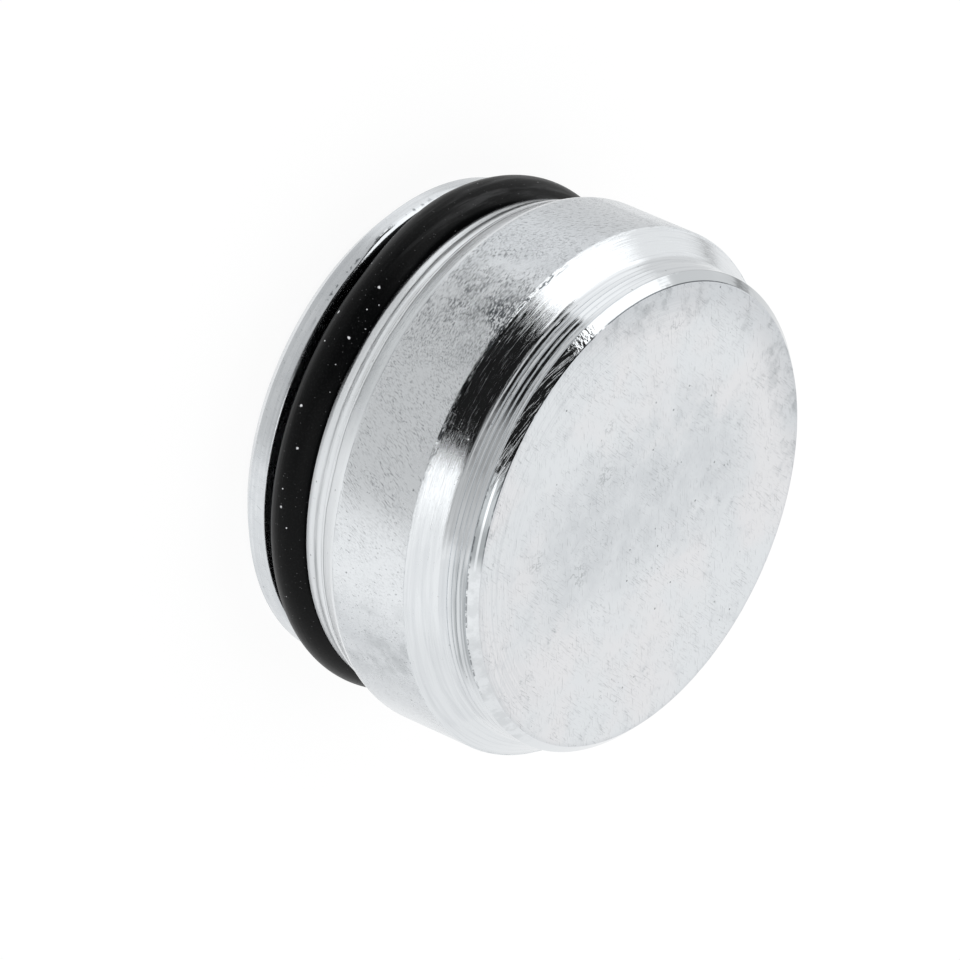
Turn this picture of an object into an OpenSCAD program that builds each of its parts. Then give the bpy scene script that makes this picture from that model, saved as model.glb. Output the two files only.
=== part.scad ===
// Turned steel blanking plug with a rubber sealing ring.
// The part is one revolved body that stands on its sealing end. Its outer face looks up along +Z.
// Sizes are in millimetres. The origin is the middle of the sealing end's flat face.

/* [Band] */
// Diameter of the band, the widest part
band_d = 24.3; // [20:0.1:40]
// Length of the band along the axis
band_len = 4.02; // [2:0.02:8]
// Slope of the ramp from the lip up to the band
ramp_slope = 26; // [20:1:50]
// Round where the ramp runs into the band
ramp_round_r = 1; // [0.2:0.1:1.4]
// Round on the band's sharp front edge
band_edge_r = 0.06; // [0.02:0.02:0.2]

/* [Sealing end] */
// How far the flange lies inside the band
flange_step = 1.05; // [0.5:0.05:2]
// Length of the flange, its nose chamfer included
flange_len = 1.45; // [1:0.05:2.5]
// Chamfer at the nose
nose_chamfer = 0.55; // [0.2:0.05:0.7]
// Round on the flange's edge beside the groove
flange_edge_r = 0.15; // [0.05:0.05:0.35]

/* [Groove] */
// Depth of the groove below the flange
groove_depth = 1.45; // [0.8:0.05:2]
// Width of the groove along the axis
groove_len = 2.55; // [2.5:0.05:4]
// Round where the groove's walls meet its floor
groove_corner_r = 0.2; // [0.05:0.05:0.25]

/* [Sealing ring] */
// Thickness of the ring's round section
ring_section = 2.1; // [1.6:0.05:2.2]
// Clearance between the ring and the groove's floor
ring_clear = 0.02; // [0:0.01:0.1]
// Clearance between the ring and the groove's wall at the lip
ring_gap = 0.03; // [0:0.01:0.1]

/* [Lip] */
// How far the lip's edge at the groove lies inside the band
lip_step = 0.9; // [0.65:0.05:1.4]
// Length of the lip along the axis
lip_len = 1.35; // [0.9:0.05:1.8]
// Slope of the lip, which widens towards the band
lip_slope = 18; // [4:1:20]
// Round on the lip's edge beside the groove
lip_edge_r = 0.12; // [0.04:0.02:0.2]
// Depth of each fine line turned round the lip
lip_line_depth = 0.04; // [0.01:0.01:0.08]
// Width of each fine line turned round the lip
lip_line_w = 0.16; // [0.1:0.02:0.24]

/* [Nut shoulder] */
// Angle between the nut shoulder and the axis
shoulder_angle = 45; // [35:1:60]
// Round where the shoulder meets the stub
shoulder_root_r = 0.35; // [0.1:0.05:0.5]

/* [Stub] */
// How far the stub that looks out through the nut lies inside the band
stub_step = 1.1; // [0.6:0.05:2]
// Length of the stub, from the shoulder to the outer face
stub_len = 1.9; // [1.2:0.05:6]
// Chamfer round the outer face
face_chamfer = 0.4; // [0.2:0.05:0.6]
// Round on both edges of the face's chamfer
face_chamfer_r = 0.08; // [0.02:0.02:0.2]
// Number of turning rings left on the stub
turning_rings = 5; // [2:1:9]
// Depth of each turning ring
turning_depth = 0.05; // [0.01:0.01:0.06]

/* [Smoothness] */
// Facets round the axis
round_facets = 96; // [48:8:160]

/* [Hidden] */

corner_steps = 5;
scallop_steps = 4;

band_r = band_d / 2;
flange_r = band_r - flange_step;
floor_r = flange_r - groove_depth;
lip_r = band_r - lip_step;
stub_r = band_r - stub_step;

// Heights along the axis, each one the end of the form below it
lip_z = flange_len + groove_len;
ramp_z = lip_z + lip_len;
lip_top_r = lip_r + lip_len * tan(lip_slope);
band_z = ramp_z + (band_r - lip_top_r) / tan(ramp_slope);
shoulder_z = band_z + band_len;
stub_z = shoulder_z + (band_r - stub_r) / tan(shoulder_angle);
face_z = stub_z + stub_len;

// The stub's straight wall, between the round at its root and the face's chamfer
root_tangent = shoulder_root_r * tan(shoulder_angle / 2);
wall_z = stub_z + root_tangent;
chamfer_tangent = face_chamfer_r * tan(45 / 2);
wall_len = face_z - face_chamfer - chamfer_tangent - wall_z;
turning_pitch = wall_len / turning_rings;

// The ring sits on the groove's floor and lies against the groove's wall at the lip
ring_r = ring_section / 2;
ring_mid_r = floor_r + ring_clear + ring_r;
ring_z = lip_z - ring_gap - ring_r;

// An angle brought into the half turn either side of zero
function short_way(a) = a > 180 ? a - 360 : a < -180 ? a + 360 : a;

// Points of the arc of radius r that rounds the corner b between the lines to a and to c
function rounded(a, b, c, r, steps = corner_steps) =
    let (
        u = (a - b) / norm(a - b),
        v = (c - b) / norm(c - b),
        half = acos(u * v) / 2,
        middle = b + (u + v) / norm(u + v) * r / sin(half),
        from = b + u * r / tan(half) - middle,
        to = b + v * r / tan(half) - middle,
        start = atan2(from.y, from.x),
        sweep = short_way(atan2(to.y, to.x) - start)
    )
    [for (i = [0:steps]) middle + r * [cos(start + sweep * i / steps), sin(start + sweep * i / steps)]];

// Radius of the lip at height z
function lip_r_at(z) = lip_r + (z - lip_z) * tan(lip_slope);

// A shallow V turned into the lip, with its middle at height z
function lip_line(z) = [
    [lip_r_at(z - lip_line_w / 2), z - lip_line_w / 2],
    [lip_r_at(z) - lip_line_depth, z],
    [lip_r_at(z + lip_line_w / 2), z + lip_line_w / 2]
];

// The hollows that the cutting tool left along the stub's wall, with a crest between each two
function turning_marks() = [
    for (i = [0:turning_rings * scallop_steps])
    let (x = 2 * (i % scallop_steps) / scallop_steps - 1)
    [stub_r - turning_depth * (1 - x * x), wall_z + i * turning_pitch / scallop_steps]
];

nose = [flange_r - nose_chamfer, 0];
nose_top = [flange_r, nose_chamfer];
flange_edge = [flange_r, flange_len];
floor_low = [floor_r, flange_len];
floor_high = [floor_r, lip_z];
lip_edge = [lip_r, lip_z];
lip_top = [lip_top_r, ramp_z];
ramp_top = [band_r, band_z];
band_edge = [band_r, shoulder_z];
shoulder_root = [stub_r, stub_z];
chamfer_low = [stub_r, face_z - face_chamfer];
chamfer_top = [stub_r - face_chamfer, face_z];
face_middle = [0, face_z];

// The body's half section as [radius, height], from the middle of the nose to the middle of the face
body_profile = concat(
    [[0, 0], nose, nose_top],
    rounded(nose_top, flange_edge, floor_low, flange_edge_r),
    rounded(flange_edge, floor_low, floor_high, groove_corner_r),
    rounded(floor_low, floor_high, lip_edge, groove_corner_r),
    rounded(floor_high, lip_edge, lip_top, lip_edge_r),
    lip_line(lip_z + lip_len * 0.55),
    lip_line(ramp_z - lip_line_w),
    [lip_top],
    rounded(lip_top, ramp_top, band_edge, ramp_round_r),
    rounded(ramp_top, band_edge, shoulder_root, band_edge_r),
    rounded(band_edge, shoulder_root, chamfer_low, shoulder_root_r),
    turning_marks(),
    rounded(shoulder_root, chamfer_low, chamfer_top, face_chamfer_r),
    rounded(chamfer_low, chamfer_top, face_middle, face_chamfer_r),
    [face_middle]
);

// Zinc-plated steel body, turned from one bar
module plug_body() {
    color([0.80, 0.82, 0.83])
    rotate_extrude($fn = round_facets)
    polygon(body_profile);
}

// Black rubber ring of round section, seated in the groove
module o_ring() {
    color([0.06, 0.06, 0.06])
    translate([0, 0, ring_z])
    rotate_extrude($fn = round_facets)
    translate([ring_mid_r, 0])
    circle(r = ring_r, $fn = 32);
}

plug_body();
o_ring();
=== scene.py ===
import math
from collections import namedtuple

import bmesh
import bpy
from mathutils import Matrix, Vector


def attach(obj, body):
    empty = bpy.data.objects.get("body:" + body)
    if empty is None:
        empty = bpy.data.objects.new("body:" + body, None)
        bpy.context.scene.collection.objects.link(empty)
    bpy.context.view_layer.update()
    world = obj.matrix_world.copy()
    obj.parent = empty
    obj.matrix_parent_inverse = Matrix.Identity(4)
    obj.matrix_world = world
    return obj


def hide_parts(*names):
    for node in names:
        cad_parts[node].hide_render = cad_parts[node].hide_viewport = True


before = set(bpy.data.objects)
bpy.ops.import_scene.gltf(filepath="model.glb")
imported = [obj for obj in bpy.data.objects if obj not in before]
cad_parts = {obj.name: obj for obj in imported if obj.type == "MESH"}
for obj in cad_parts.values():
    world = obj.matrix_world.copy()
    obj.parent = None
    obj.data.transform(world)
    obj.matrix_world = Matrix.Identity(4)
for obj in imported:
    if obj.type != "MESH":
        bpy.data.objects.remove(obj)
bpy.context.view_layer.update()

bl_info = {
    "name": "Turned Blanking Plug",
    "version": (1, 0, 0),
    "blender": (4, 5, 0),
    "location": "3D View > Sidebar > Plug",
    "description": "Dresses a turned steel blanking plug and its rubber ring, and sets its studio",
    "category": "Object",
}

MM = 0.001
# Where the camera's side lies in degrees from +X
CAMERA_SIDE = 270.0
BODY_NODE = "plug_body"
RING_NODE = "o_ring"


# Sizes and colours that a user would change


def length(name, text, value):
    return bpy.props.FloatProperty(
        name=name, description=text, default=value * MM, precision=5, subtype="DISTANCE"
    )


def share(name, text, value):
    return bpy.props.FloatProperty(
        name=name, description=text, default=value, min=0.0, max=1.0, subtype="FACTOR"
    )


def colour(name, text, value):
    return bpy.props.FloatVectorProperty(
        name=name, description=text, default=value, size=3, min=0.0, max=1.0, subtype="COLOR"
    )


def turn(name, text, degrees):
    return bpy.props.FloatProperty(
        name=name, description=text, default=math.radians(degrees), subtype="ANGLE"
    )


def count(name, text, value, least):
    return bpy.props.IntProperty(name=name, description=text, default=value, min=least)


class PlugSizes(bpy.types.PropertyGroup):
    band_diameter: length("Band diameter", "Diameter of the widest part", 24.289)
    band_length: length("Band length", "Length of the straight band", 4.02)
    ramp_slope: turn("Ramp slope", "Slope of the ramp below the band", 26)
    ramp_round: length("Ramp round", "Round where the ramp runs into the band", 1.0)
    band_edge: length("Band edge", "Round on the band's sharp front edge", 0.06)
    flange_step: length("Flange step", "From the band in to the flange", 1.05)
    flange_length: length("Flange length", "Length of the flange", 1.45)
    nose_chamfer: length("Nose chamfer", "Chamfer at the sealing end", 0.55)
    flange_edge: length("Flange edge", "Round on the flange's edge beside the groove", 0.15)
    flange_ease: length("Flange ease", "Round of the flange's edge on its worn side", 0.48)
    ease_start: turn("Ease start", "Where the worn side starts, from the camera's side", -112)
    ease_end: turn("Ease end", "Where the worn side ends, from the camera's side", -32)
    groove_depth: length("Groove depth", "Depth of the groove below the flange", 1.45)
    groove_length: length("Groove length", "Width of the groove along the axis", 2.55)
    groove_corner: length("Groove corner", "Round in the groove's corners", 0.2)
    lip_step: length("Lip step", "From the band in to the lip's edge", 0.9)
    lip_length: length("Lip length", "Length of the lip", 1.35)
    lip_slope: turn("Lip slope", "Slope of the lip", 18)
    lip_edge: length("Lip edge", "Round on the lip's edge", 0.12)
    lip_line_depth: length("Lip line depth", "Depth of the fine line in the lip", 0.014)
    lip_line_width: length("Lip line width", "Width of the fine line in the lip", 0.16)
    shoulder_angle: turn("Shoulder angle", "Angle between the nut shoulder and the axis", 45)
    shoulder_root: length("Shoulder root", "Round where the shoulder meets the stub", 0.5)
    stub_step: length("Stub step", "From the band in to the stub", 1.1)
    stub_length: length("Stub length", "Length of the stub", 1.8999)
    face_chamfer: length("Face chamfer", "Chamfer round the outer face", 0.4)
    chamfer_edge: length("Chamfer edge", "Round on both edges of the face's chamfer", 0.06)
    turning_rings: count("Turning rings", "Rings that the tool left on the stub", 5, 1)
    turning_depth: length("Turning depth", "Depth of each turning ring", 0.05)
    nick_depth: length("Nick depth", "Depth of the nicks in the sharp edges", 0.035)
    segments: count("Segments", "Faces round the axis", 560, 48)


class RingSizes(bpy.types.PropertyGroup):
    section: length("Section", "Thickness of the ring's round section", 2.1)
    clearance: length("Clearance", "Clearance between ring and groove floor", 0.02)
    gap: length("Wall clearance", "Clearance between ring and groove wall at the lip", 0.03)
    lean: length("Lean", "How far one side lies nearer the flange", 0.36)
    bulge: length("Bulge", "How far that side stands out", 0.06)
    segments: count("Segments", "Faces round the axis", 360, 48)
    section_segments: count("Section segments", "Faces round the section", 64, 12)


class PlugFinish(bpy.types.PropertyGroup):
    zinc: colour("Zinc", "Colour of the zinc plate", (0.760, 0.785, 0.805))
    # Colour of real stains, and also of painted shade on the band, the flange and the face's rim
    stain_and_shade: colour("Stain", "Colour of the dull cloudy patches", (0.56, 0.585, 0.61))
    # Colour of real streaks and scuffs, and also of painted shade and dark reflections on the lip, ramp,
    # band, chamfer and face
    streak_and_shade: colour("Streak", "Colour of dark streaks and tarnished spots", (0.27, 0.29, 0.30))
    bloom: colour("Bloom", "Colour of the pale warm patches on the face", (0.80, 0.79, 0.80))
    # Colour of real pores and dirt, and also of painted dark reflections along the shoulder's and
    # chamfer's edges and in the band's pits
    grime_and_dark_reflection: colour("Grime", "Colour of pores and dirt specks", (0.09, 0.10, 0.11))
    rubber: colour("Rubber", "Colour of the sealing ring", (0.0024, 0.0026, 0.0028))
    # Colour of real dust flecks, and also of the ring's painted sheen
    dust_and_sheen: colour("Dust", "Colour of the dust flecks", (0.75, 0.76, 0.78))
    face_roughness: share("Face roughness", "Roughness of the outer face", 0.36)
    band_roughness: share("Band roughness", "Roughness of the band", 0.27)
    flange_roughness: share("Flange roughness", "Roughness of the sealing end", 0.22)
    lip_roughness: share("Lip roughness", "Roughness of the lip and the ramp", 0.20)
    bright_roughness: share("Bright roughness", "Roughness of the shoulder and stub", 0.05)


class PlugStudio(bpy.types.PropertyGroup):
    camera_height: turn("Camera height", "Angle of the camera above the outer face", 34.27)
    camera_roll: turn("Camera roll", "Turn of the plug's axis below the picture's level", 23.765)
    camera_lens: bpy.props.FloatProperty(
        name="Camera lens", description="Focal length in millimetres", default=421.1
    )
    camera_distance: length("Camera distance", "Distance from camera to plug", 486.0)
    picture_right: length("Picture right", "How far the plug lies right of the middle", 4.65)
    picture_down: length("Picture down", "How far the plug lies below the middle", 0.52)
    sky: bpy.props.FloatProperty(
        name="Sky", description="Strength of the soft light all round", default=0.97
    )
    floor_glow: share("Floor glow", "Part of the floor's white that no shadow dims", 0.87)
    panel_fringe: bpy.props.FloatProperty(
        name="Panel fringe", description="How far the panels' edges waver, in degrees", default=19.0
    )


# Turned profile: points as (radius, height) in metres

# How close to a corner a straight run has its last point, so that its shading stays flat
TIGHT = 0.02 * MM
# Points of the profile closer than this are one point
NEAREST = 0.002 * MM
# Points closer than this are the same point of an arc
TOUCHING = 0.001 * MM
# How far the shoulder is worn down beside its sharp edge, and over what distance
WORN_DROP = 0.012 * MM
WORN_REACH = 0.26 * MM


def rounded(a, b, c, radius, steps):
    """Points of the arc that rounds corner b between the lines to a and to c."""
    u, v = (a - b).normalized(), (c - b).normalized()
    half = math.acos(max(-1.0, min(1.0, u.dot(v)))) / 2
    middle = b + (u + v).normalized() * radius / math.sin(half)
    start = b + u * radius / math.tan(half) - middle
    end = b + v * radius / math.tan(half) - middle
    first = math.atan2(start.y, start.x)
    sweep = math.atan2(end.y, end.x) - first
    sweep = (sweep + math.pi) % (2 * math.pi) - math.pi
    angles = [first + sweep * i / steps for i in range(steps + 1)]
    return [middle + radius * Vector((math.cos(angle), math.sin(angle))) for angle in angles]


def straight(a, b, steps):
    """Points along a straight run, with one close to each end."""
    margin = TIGHT / (b - a).length
    return [a.lerp(b, s) for s in [margin] + [i / steps for i in range(1, steps)] + [1 - margin]]


class Heights:
    """Radii and heights of the turned body, each from the sizes above it."""

    def __init__(self, s):
        self.band_r = s.band_diameter / 2
        self.flange_r = self.band_r - s.flange_step
        self.floor_r = self.flange_r - s.groove_depth
        self.lip_r = self.band_r - s.lip_step
        self.stub_r = self.band_r - s.stub_step
        self.face_r = self.stub_r - s.face_chamfer
        self.flange_z = s.flange_length
        self.lip_z = self.flange_z + s.groove_length
        self.ramp_z = self.lip_z + s.lip_length
        self.lip_top_r = self.lip_r + s.lip_length * math.tan(s.lip_slope)
        self.band_z = self.ramp_z + (self.band_r - self.lip_top_r) / math.tan(s.ramp_slope)
        self.shoulder_z = self.band_z + s.band_length
        self.stub_z = self.shoulder_z + s.stub_step / math.tan(s.shoulder_angle)
        self.face_z = self.stub_z + s.stub_length
        self.chamfer_z = self.face_z - s.face_chamfer
        self.wall_z = self.stub_z + s.shoulder_root * math.tan(s.shoulder_angle / 2)
        self.wall_top = self.chamfer_z - s.chamfer_edge * math.tan(math.pi / 8)


# The lip's worn form in millimetres: height above its edge, and how far it stands off a straight slope
LIP_FORM = (
    (0.14, 0.026), (0.34, -0.002), (0.54, -0.028), (0.60, -0.030),
    (0.68, -0.024), (0.92, 0.005), (0.98, 0.006), (1.06, 0.003),
)
# Where the fine line's points lie across it, from one side to the other
LINE_STEPS = (-1.0, -0.5, -0.15, 0.15, 0.5, 1.0)


def lip_shape(s, h):
    """The lip's slope with its shallow hollow, and the fine line turned near its top."""
    line_z = h.ramp_z - s.lip_line_width
    spots = [(h.lip_z + rise * MM, off * MM) for rise, off in LIP_FORM]
    for step in LINE_STEPS:
        sink = s.lip_line_depth * (1 - abs(step)) ** 0.8
        spots.append((line_z + step * s.lip_line_width / 2, -sink))
    slope = math.tan(s.lip_slope)
    return [Vector((h.lip_r + (at - h.lip_z) * slope + off, at)) for at, off in spots]


# Shape of one hollow: share of the pitch, share of the depth
HOLLOW = ((0.0, 0.0), (0.03, 0.04), (0.55, 0.97), (0.60, 1.0), (0.64, 1.0), (0.68, 0.95), (0.97, 0.05))
HOLLOW_DEPTHS = (1.0, 0.85, 1.05, 1.1, 0.75)


def turning_marks(s, h):
    """The slanted hollows that the cutting tool left along the stub, no two of one depth."""
    pitch = (h.wall_top - h.wall_z) / s.turning_rings
    points = []
    for ring in range(s.turning_rings):
        depth = s.turning_depth * HOLLOW_DEPTHS[ring % len(HOLLOW_DEPTHS)]
        for along, down in HOLLOW:
            points.append(Vector((h.stub_r - depth * down, h.wall_z + (ring + along) * pitch)))
    points.append(Vector((h.stub_r, h.wall_top)))
    return points


def worn_slope(a, b, steps, reach, drop):
    """A slope from a to b that sinks inward by drop at a, over the distance reach."""
    run = (b - a).length
    ahead = (b - a) / run
    inward = Vector((ahead.y, -ahead.x)) if ahead.y < 0 else Vector((-ahead.y, ahead.x))
    points = []
    for i in range(steps + 1):
        way = run * (i / steps) ** 1.5
        points.append(a + ahead * way + inward * drop * max(0.0, 1 - way / reach) ** 2)
    return points


def body_profile(s, h):
    """Half section of the body and how far wear may eat into each point."""
    nose = Vector((h.flange_r - s.nose_chamfer, 0))
    nose_top = Vector((h.flange_r, s.nose_chamfer))
    flange_edge = Vector((h.flange_r, h.flange_z))
    floor_low = Vector((h.floor_r, h.flange_z))
    floor_high = Vector((h.floor_r, h.lip_z))
    lip_edge = Vector((h.lip_r, h.lip_z))
    lip_top = Vector((h.lip_top_r, h.ramp_z))
    ramp_top = Vector((h.band_r, h.band_z))
    band_edge = Vector((h.band_r, h.shoulder_z))
    root = Vector((h.stub_r, h.stub_z))
    chamfer_low = Vector((h.stub_r, h.chamfer_z))
    chamfer_top = Vector((h.face_r, h.face_z))
    centre = Vector((0, h.face_z))
    ramp_arc = rounded(lip_top, ramp_top, band_edge, s.ramp_round, 8)
    edge_arc = rounded(ramp_top, band_edge, root, s.band_edge, 4)
    root_arc = rounded(band_edge, root, chamfer_low, s.shoulder_root, 7)
    low_arc = rounded(root, chamfer_low, chamfer_top, s.chamfer_edge, 3)
    top_arc = rounded(chamfer_low, chamfer_top, centre, s.chamfer_edge, 3)
    runs = [
        ([Vector((0, 0))] + straight(Vector((0, 0)), nose, 5), 0),
        ([nose] + straight(nose, nose_top, 2) + [nose_top], 0),
        (straight(nose_top, flange_edge - Vector((0, s.flange_edge)), 3), 0),
        (rounded(nose_top, flange_edge, floor_low, s.flange_edge, 6), 0.5),
        (rounded(flange_edge, floor_low, floor_high, s.groove_corner, 4), 0),
        (rounded(floor_low, floor_high, lip_edge, s.groove_corner, 4), 0),
        (rounded(floor_high, lip_edge, lip_top, s.lip_edge, 6), 0.4),
        (lip_shape(s, h), 0),
        ([lip_top - Vector((0, TIGHT)), lip_top], 0),
        (straight(lip_top, ramp_arc[0], 4), 0),
        (ramp_arc, 0),
        (straight(ramp_arc[-1], edge_arc[0], 8), 0),
        (edge_arc, 1),
        (worn_slope(edge_arc[-1], root_arc[0], 16, WORN_REACH, WORN_DROP), 0),
        (root_arc, 0),
        (turning_marks(s, h), 0.2),
        (low_arc, 1),
        (straight(low_arc[-1], top_arc[0], 4), 0.6),
        (top_arc, 1),
        (straight(top_arc[-1], centre, 9)[:-1], 0),
        ([centre], 0),
    ]
    points, wear = [], []
    for run, amount in runs:
        for point in run:
            if points and (point - points[-1]).length < NEAREST:
                continue
            points.append(point)
            wear.append(amount)
    return points, wear


def eased_offsets(points, s, h):
    """How far each point moves where the flange's edge is worn to its larger round."""
    edge, floor = Vector((h.flange_r, h.flange_z)), Vector((h.floor_r, h.flange_z))
    low = Vector((h.flange_r, 0))
    wide = rounded(low, edge, floor, s.flange_ease, 6)
    narrow = rounded(low, edge, floor, s.flange_edge, 6)
    squeeze = (wide[0].y - s.nose_chamfer) / (narrow[0].y - s.nose_chamfer)
    offsets = []
    for point in points:
        match = [b - a for a, b in zip(narrow, wide) if (point - a).length < TOUCHING]
        on_land = abs(point.x - h.flange_r) < TOUCHING and s.nose_chamfer < point.y < narrow[0].y
        if match:
            offsets.append(match[0])
        elif on_land:
            offsets.append(Vector((0, (point.y - s.nose_chamfer) * (squeeze - 1))))
        else:
            offsets.append(Vector((0, 0)))
    return offsets


# Node building


class Wire:
    """An output of a node, on which plain arithmetic puts further nodes."""

    def __init__(self, socket):
        self.socket = socket
        self.tree = socket.id_data


def put(tree, kind, inputs=None, **settings):
    """Adds a node, sets it up, and fills or links its inputs by name or number."""
    node = tree.nodes.new(kind)
    for key, value in settings.items():
        setattr(node, key, value)
    for key, value in (inputs or {}).items():
        value = value.socket if isinstance(value, Wire) else value
        if isinstance(value, bpy.types.NodeSocket):
            tree.links.new(value, node.inputs[key])
        else:
            node.inputs[key].default_value = value
    return node


class Number(Wire):
    """A number at each point."""

    def math(self, operation, *values):
        node = put(self.tree, "ShaderNodeMath", dict(enumerate(values)), operation=operation)
        return Number(node.outputs[0])

    def __add__(self, other):
        return self.math("ADD", self, other)

    def __sub__(self, other):
        return self.math("SUBTRACT", self, other)

    def __rsub__(self, other):
        return self.math("SUBTRACT", other, self)

    def __mul__(self, other):
        return self.math("MULTIPLY", self, other)

    def __truediv__(self, other):
        return self.math("DIVIDE", self, other)

    def degrees(self):
        return self.math("DEGREES", self)

    def size(self):
        return self.math("ABSOLUTE", self)

    def larger(self, other):
        return self.math("MAXIMUM", self, other)

    def fade(self, low, high):
        """0 below low, 1 above high, and smooth between; low may be the larger."""
        ends = {"Value": self, "From Min": low, "From Max": high}
        node = put(self.tree, "ShaderNodeMapRange", ends, interpolation_type="SMOOTHSTEP")
        return Number(node.outputs[0])

    def window(self, low, high, soft):
        """1 between low and high and 0 outside, with soft sides."""
        return self.fade(low - soft, low + soft) * self.fade(high + soft, high - soft)


class Arrow(Wire):
    """A point or a direction at each point."""

    def math(self, operation, *values):
        inputs = dict(enumerate(values))
        return put(self.tree, "ShaderNodeVectorMath", inputs, operation=operation).outputs

    def __add__(self, other):
        return Arrow(self.math("ADD", self, other)[0])

    def __sub__(self, other):
        return Arrow(self.math("SUBTRACT", self, other)[0])

    def __mul__(self, size):
        """Longer by one number, or by one for each direction."""
        if isinstance(size, tuple):
            return Arrow(self.math("MULTIPLY", self, size)[0])
        return scaled(self.tree, self, size)

    def along(self, way):
        return Number(self.math("DOT_PRODUCT", self, way)[1])

    def length(self):
        return Number(self.math("LENGTH", self)[1])

    def unit(self):
        return Arrow(self.math("NORMALIZE", self)[0])

    def parts(self):
        return [Number(part) for part in put(self.tree, "ShaderNodeSeparateXYZ", {0: self}).outputs]

    def noise(self, scale, detail, rough):
        inputs = {"Vector": self, "Scale": scale, "Detail": detail, "Roughness": rough}
        return Number(put(self.tree, "ShaderNodeTexNoise", inputs).outputs[0])


def scaled(tree, arrow, size):
    """The arrow, made longer by the size."""
    inputs = {0: arrow, "Scale": size}
    return Arrow(put(tree, "ShaderNodeVectorMath", inputs, operation="SCALE").outputs[0])


def arrow_of(tree, **parts):
    """An arrow from its parts X, Y and Z; one that isn't given is 0."""
    return Arrow(put(tree, "ShaderNodeCombineXYZ", parts).outputs[0])


def turn_of(x, y):
    """Turn in degrees, 0 towards -Y and growing towards +X."""
    return x.math("ARCTAN2", x, y * -1.0).degrees()


def blend_colour(tree, amount, low, high):
    """The colour low where the amount is 0, and high where it is 1."""
    return put(tree, "ShaderNodeMix", {0: amount, 6: low, 7: high}, data_type="RGBA").outputs[2]


WHITE = (1.0, 1.0, 1.0, 1.0)


def solid(rgb):
    return (*rgb, 1.0)


def material(name):
    made = bpy.data.materials.new(name)
    made.use_nodes = True
    made.node_tree.nodes.clear()
    return made, made.node_tree


def close_material(tree, kind, inputs):
    shader = put(tree, kind, inputs)
    put(tree, "ShaderNodeOutputMaterial", {"Surface": shader.outputs[0]})


def bump(tree, layers):
    """Chains bump nodes; each layer is (height, depth in millimetres)."""
    normal = None
    for height, depth in layers:
        inputs = {"Height": height, "Distance": depth * MM, "Strength": 1.0}
        if normal is not None:
            inputs["Normal"] = normal
        normal = put(tree, "ShaderNodeBump", inputs).outputs[0]
    return normal


# Fine marks that run one way: the way, their length and width in millimetres, how rare they are, the
# seed, how dark and how many millimetres deep they are, and how soft their outline is
Marks = namedtuple("Marks", "way length width rarity seed tone depth soft", defaults=(0.0, 0.06))


class Place:
    """Where a point of the piece lies, in millimetres: along the axis, out from it and round it.

    The turn is in degrees, 0 on the camera's side and growing towards +X.
    """

    def __init__(self, tree):
        self.tree = tree
        self.mm = Arrow(put(tree, "ShaderNodeTexCoord").outputs["Object"]) * (1 / MM)
        self.x, self.y, self.z = self.mm.parts()
        flat = self.mm * (1, 1, 0)
        self.out = flat.length()
        self.round = flat.unit()
        self.turn = turn_of(self.x, self.y)

    def up_from(self, height):
        """Distance above one of the body's heights."""
        return self.z - height / MM

    def in_from(self, radius):
        """Distance inside one of the body's radii."""
        return radius / MM - self.out

    def side(self, start, end, soft):
        """1 between two turns and 0 elsewhere."""
        return self.turn.window(start, end, soft)

    def patches(self, scale, low, high, detail=3.0, rough=0.6):
        """Soft patches of noise."""
        return self.mm.noise(scale, detail, rough).fade(low, high)

    def turned(self, station, reach, fineness, seed, detail=3.0, rough=0.6):
        """Noise drawn out into lines round the axis."""
        lift = arrow_of(self.tree, Z=station * fineness + seed)
        return (self.round * reach + lift).noise(1.0, detail, rough)

    def marks(self, m):
        """Thin straight marks that run one way across the piece."""
        way = tuple(Vector(m.way).normalized())
        run = scaled(self.tree, way, self.mm.along(way) * (1 / m.length - 1 / m.width))
        drawn = self.mm * (1 / m.width) + run + (m.seed,) * 3
        return drawn.noise(1.0, 1.5, 0.5).fade(m.rarity, m.rarity + m.soft)

    def specks(self, per_mm, size, chance, seed, spot=None):
        """Small round specks, each kept by chance; a bent spot gives them ragged outlines."""
        at = (self.mm if spot is None else spot) + (seed,) * 3
        cells = put(self.tree, "ShaderNodeTexVoronoi", {"Vector": at, "Scale": per_mm}, feature="F1")
        draw = Arrow(cells.outputs["Color"]).parts()[0]
        kept = draw.math("LESS_THAN", draw, chance)
        return Number(cells.outputs["Distance"]).fade(size, size * 0.5) * kept


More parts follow.
